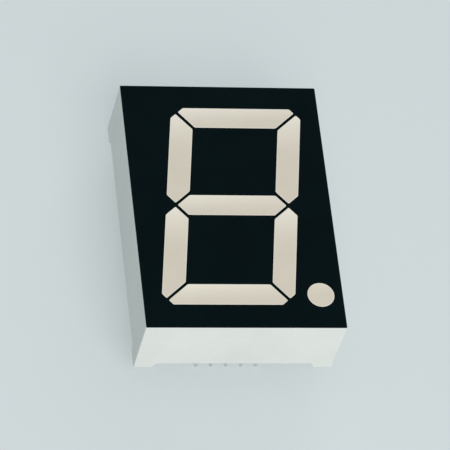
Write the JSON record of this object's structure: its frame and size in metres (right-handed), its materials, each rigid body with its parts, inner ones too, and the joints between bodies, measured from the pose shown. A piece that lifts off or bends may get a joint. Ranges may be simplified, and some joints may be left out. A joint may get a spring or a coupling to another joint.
{
  "type": "seven-segment led display",
  "caption": "Through-hole LED digit display with a slanted seven-segment numeral and a decimal point in a black face, a white housing on corner feet and rows of solder pins.",
  "frame": {"origin": "centre of the pin pattern, on the seating plane under the corner feet", "axes": "+Z out of the face, +Y to the top of the digit, +X to the right of the digit"},
  "size_m": [0.0334, 0.0468, 0.0178],
  "materials": {
    "housing_white": "satin moulded white plastic",
    "mask_black": "matte black ink",
    "epoxy_cream": "diffused cream-white epoxy, satin",
    "board_laminate": "green solder mask on glass laminate",
    "potting_epoxy": "milky cast epoxy",
    "solder": "bright solder",
    "tinned_pin": "bright tinned wire",
    "led_chip": "polished semiconductor",
    "gold_wire": "drawn gold wire"
  },
  "bodies": {
    "root": {"housing": "housing_white", "face_mask": "mask_black", "decimal_point": "epoxy_cream", "circuit_board": "board_laminate", "potting": "potting_epoxy", "solder_joints": "solder", "segment_a": "epoxy_cream", "segment_b": "epoxy_cream", "segment_c": "epoxy_cream", "segment_d": "epoxy_cream", "segment_e": "epoxy_cream", "segment_f": "epoxy_cream", "segment_g": "epoxy_cream", "pin_1": "tinned_pin", "pin_2": "tinned_pin", "pin_3": "tinned_pin", "pin_4": "tinned_pin", "pin_5": "tinned_pin", "pin_6": "tinned_pin", "pin_7": "tinned_pin", "pin_8": "tinned_pin", "pin_9": "tinned_pin", "pin_10": "tinned_pin", "led_chips_a": "led_chip", "led_chips_b": "led_chip", "led_chips_c": "led_chip", "led_chips_d": "led_chip", "led_chips_e": "led_chip", "led_chips_f": "led_chip", "led_chips_g": "led_chip", "led_chips_dp": "led_chip", "bond_wires_a": "gold_wire", "bond_wires_b": "gold_wire", "bond_wires_c": "gold_wire", "bond_wires_d": "gold_wire", "bond_wires_e": "gold_wire", "bond_wires_f": "gold_wire", "bond_wires_g": "gold_wire", "bond_wires_dp": "gold_wire"}
  },
  "joints": []
}
